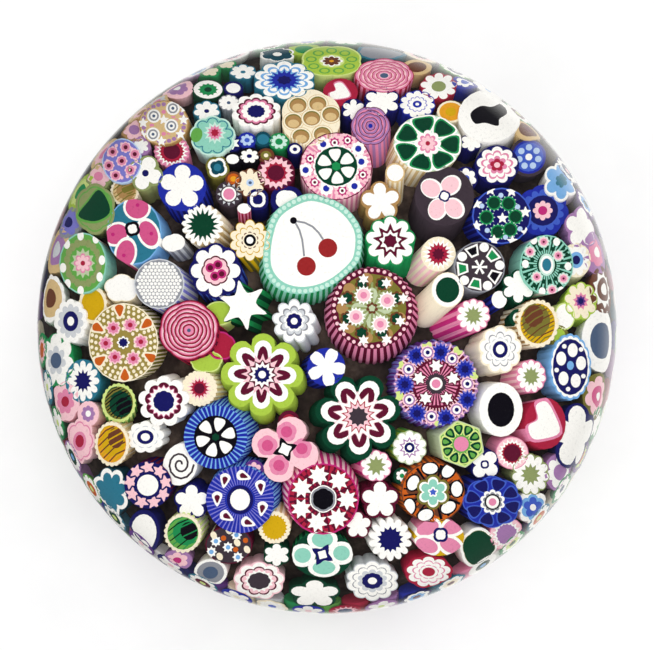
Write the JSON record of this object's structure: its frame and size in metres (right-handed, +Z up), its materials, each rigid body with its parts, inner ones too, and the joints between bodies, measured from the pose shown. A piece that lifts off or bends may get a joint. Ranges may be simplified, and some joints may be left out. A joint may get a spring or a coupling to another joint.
{
  "type": "millefiori glass paperweight",
  "caption": "Round domed paperweight of clear glass over close-packed patterned glass canes on a domed ground, with a flat foot ring.",
  "frame": {"origin": "middle of the foot ring, on the plane that the weight rests on", "axes": "+Z up through the crown of the dome; the canes were laid out to be seen from the -Y side, so -Y is the front and +X is right"},
  "size_m": [0.076, 0.076, 0.054],
  "materials": {
    "clear_glass": "polished",
    "ground_glass": "dull, set in clear glass",
    "white_cane_glass": "opaque coloured glass set in clear glass",
    "olive_cane_glass": "opaque coloured glass set in clear glass",
    "purple_cane_glass": "opaque coloured glass set in clear glass",
    "lime_cane_glass": "opaque coloured glass set in clear glass",
    "green_cane_glass": "opaque coloured glass set in clear glass",
    "crimson_cane_glass": "opaque coloured glass set in clear glass",
    "cobalt_cane_glass": "opaque coloured glass set in clear glass",
    "amber_cane_glass": "opaque coloured glass set in clear glass",
    "pink_cane_glass": "opaque coloured glass set in clear glass",
    "orange_cane_glass": "opaque coloured glass set in clear glass",
    "light_pink_cane_glass": "opaque coloured glass set in clear glass",
    "mint_cane_glass": "opaque coloured glass set in clear glass",
    "navy_cane_glass": "opaque coloured glass set in clear glass",
    "sky_blue_cane_glass": "opaque coloured glass set in clear glass",
    "teal_cane_glass": "opaque coloured glass set in clear glass",
    "grey_cane_glass": "opaque coloured glass set in clear glass",
    "brown_cane_glass": "opaque coloured glass set in clear glass",
    "ivory_cane_glass": "opaque coloured glass set in clear glass",
    "maroon_cane_glass": "opaque coloured glass set in clear glass"
  },
  "bodies": {
    "root": {"clear_glass_dome": "clear_glass", "base_pad": "clear_glass", "ground_cushion": "ground_glass", "cherry_cane": "white_cane_glass", "sage_garden_cane": "olive_cane_glass", "purple_star_garden_cane": "purple_cane_glass", "lime_flower_cane": "lime_cane_glass", "dark_green_flower_cane": "green_cane_glass", "seven_star_cane": "crimson_cane_glass", "blue_spoke_cane": "cobalt_cane_glass", "blue_teardrop_cane": "cobalt_cane_glass", "orange_teardrop_cane": "amber_cane_glass", "rose_cane": "pink_cane_glass", "green_spoke_cane": "green_cane_glass", "amber_dot_cane": "orange_cane_glass", "pink_butterfly_cane": "light_pink_cane_glass", "mint_petal_cane": "mint_cane_glass", "cobalt_petal_cane": "cobalt_cane_glass", "blue_daisy_cane": "navy_cane_glass", "pink_bow_cane": "crimson_cane_glass", "egg_ring_cane": "white_cane_glass", "lime_hexagon_cane": "lime_cane_glass", "ivory_lace_cane": "white_cane_glass", "blue_egg_cane": "sky_blue_cane_glass", "ochre_well_cane": "olive_cane_glass", "filigree_garden_cane": "green_cane_glass", "star_garden_cane": "teal_cane_glass", "outline_garden_cane": "grey_cane_glass", "brown_petal_cane": "brown_cane_glass", "green_seven_petal_cane": "green_cane_glass", "silhouette_cane": "white_cane_glass", "pink_rose_cane": "pink_cane_glass", "mauve_rose_cane": "pink_cane_glass", "honeycomb_cane": "ivory_cane_glass", "lime_brown_flower_cane": "lime_cane_glass", "blue_starburst_cane": "sky_blue_cane_glass", "purple_flower_cane": "purple_cane_glass", "teal_star_cane": "teal_cane_glass", "ring_garden_cane": "grey_cane_glass", "lavender_garden_cane": "purple_cane_glass", "cobalt_blossom_cane": "cobalt_cane_glass", "lime_heart_cane": "lime_cane_glass", "teal_petal_cane": "teal_cane_glass", "green_dot_cane": "green_cane_glass", "navy_ring_cane": "grey_cane_glass", "basket_cane": "white_cane_glass", "navy_blossom_cane": "navy_cane_glass", "green_burst_cane": "green_cane_glass", "gold_scallop_cane": "amber_cane_glass", "white_star_cane": "white_cane_glass", "grey_lace_cane": "grey_cane_glass", "blue_blossom_cane": "cobalt_cane_glass", "leaf_green_cane": "green_cane_glass", "white_tube_cane": "white_cane_glass", "maroon_oval_cane": "maroon_cane_glass", "navy_star_cane": "navy_cane_glass", "spiral_cane": "white_cane_glass", "amber_well_cane": "amber_cane_glass", "green_well_cane": "green_cane_glass", "crimson_heart_cane": "crimson_cane_glass"}
  },
  "joints": []
}
